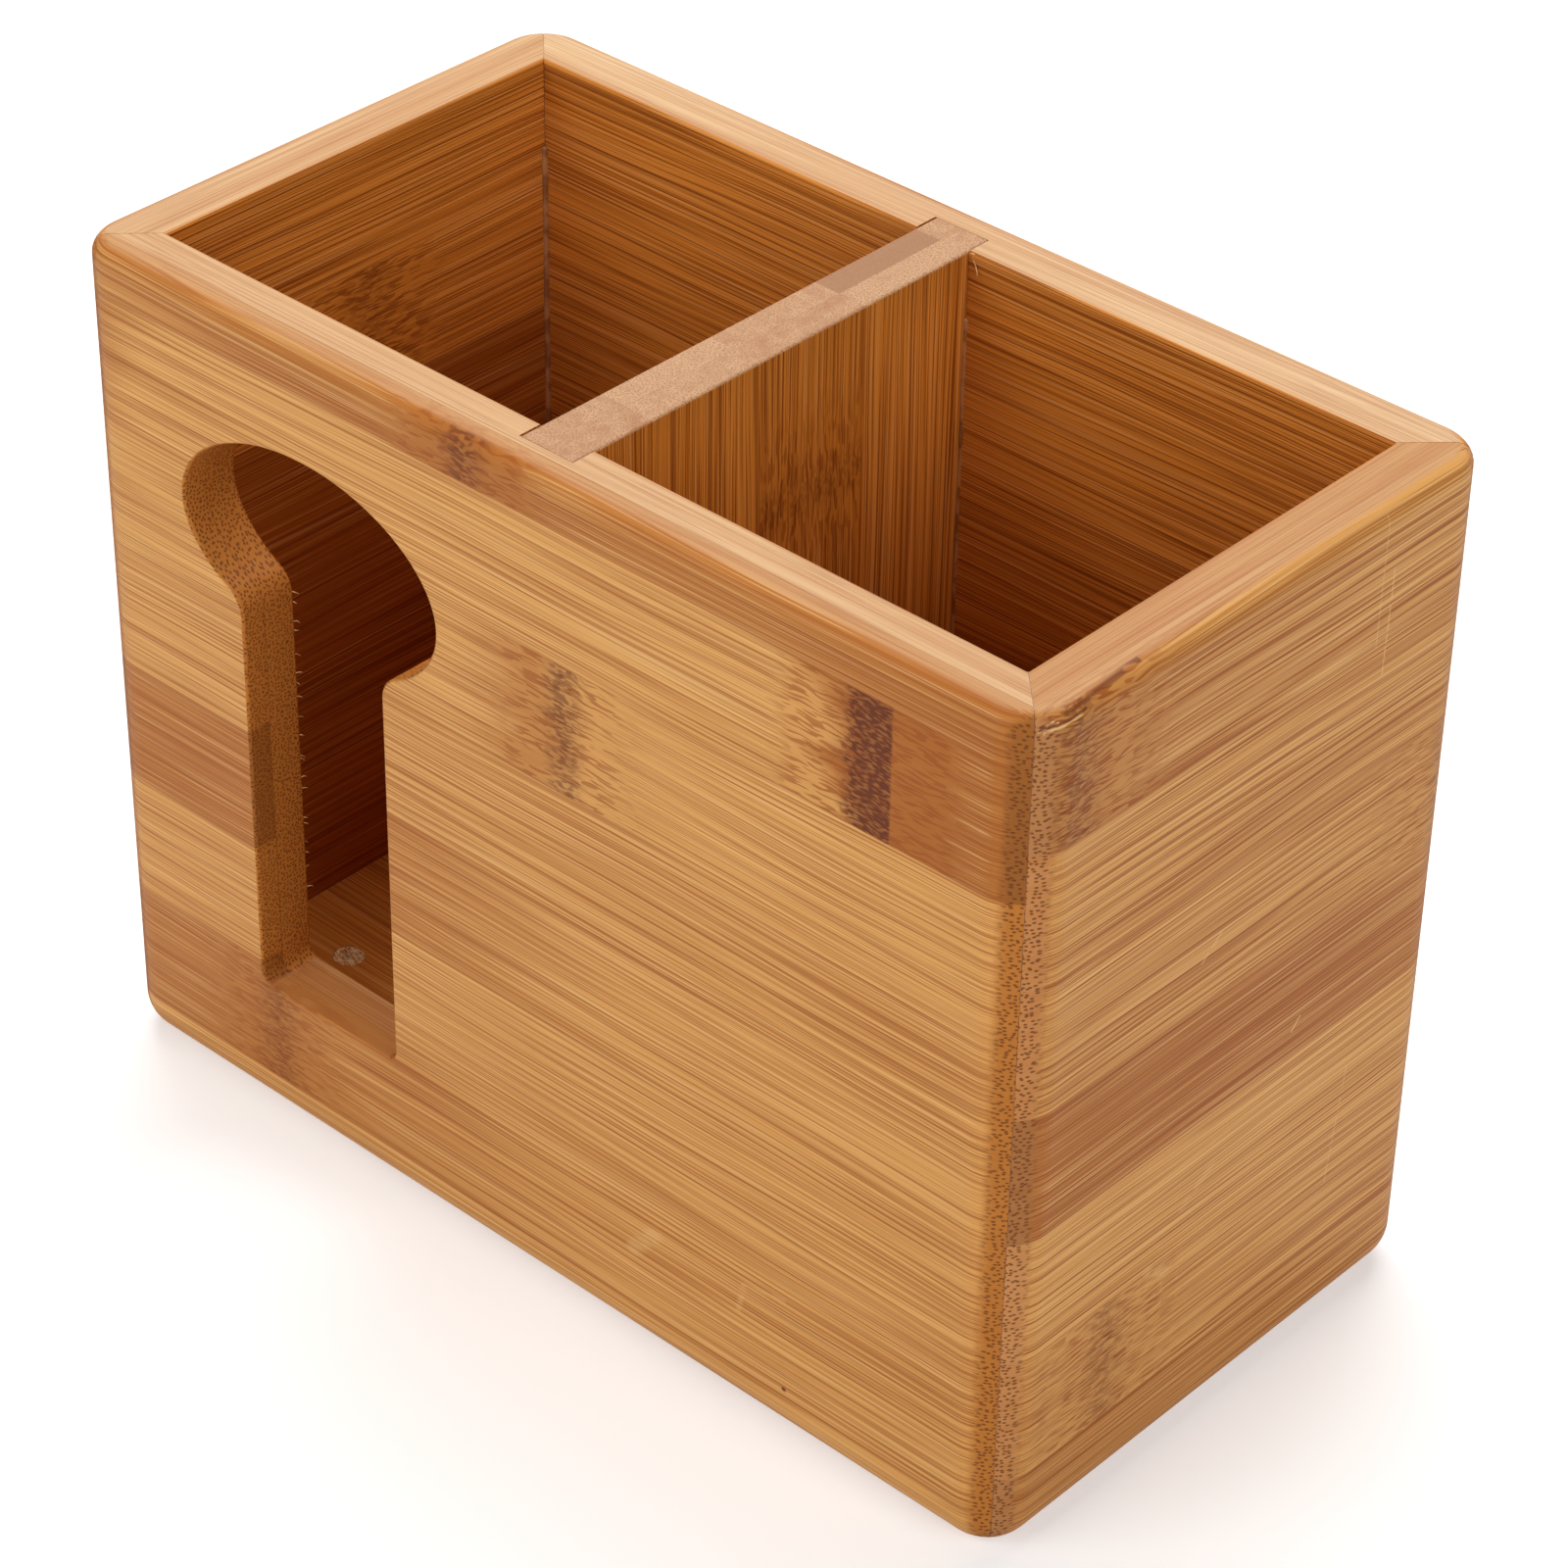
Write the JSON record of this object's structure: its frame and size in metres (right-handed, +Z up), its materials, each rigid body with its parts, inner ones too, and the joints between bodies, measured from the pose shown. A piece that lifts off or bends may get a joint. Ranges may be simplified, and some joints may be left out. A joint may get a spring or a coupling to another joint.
{
  "type": "cutlery organizer",
  "caption": "Bamboo cutlery organizer: an open-topped mitred box with a middle divider, an inset floor and a keyhole cut-out in the front wall.",
  "frame": {"origin": "under the middle of the organizer, on the surface that it stands on", "axes": "+X along the width to the right as seen from the front, +Y from the front wall with the keyhole to the back wall, +Z up"},
  "size_m": [0.2, 0.106, 0.157],
  "materials": {
    "wall_board": "carbonised laminated bamboo, grain along the board, satin lacquer",
    "divider_board": "carbonised laminated bamboo, upright grain, satin lacquer, dull end grain on top",
    "floor_board": "carbonised laminated bamboo, grain along the width, satin lacquer",
    "floor_plug": "pale bamboo end grain with filler, rough and slightly shiny"
  },
  "bodies": {
    "root": {"front_panel": "wall_board", "back_panel": "wall_board", "left_end_panel": "wall_board", "right_end_panel": "wall_board", "divider": "divider_board", "floor_panel": "floor_board", "floor_plugs": "floor_plug"}
  },
  "joints": []
}
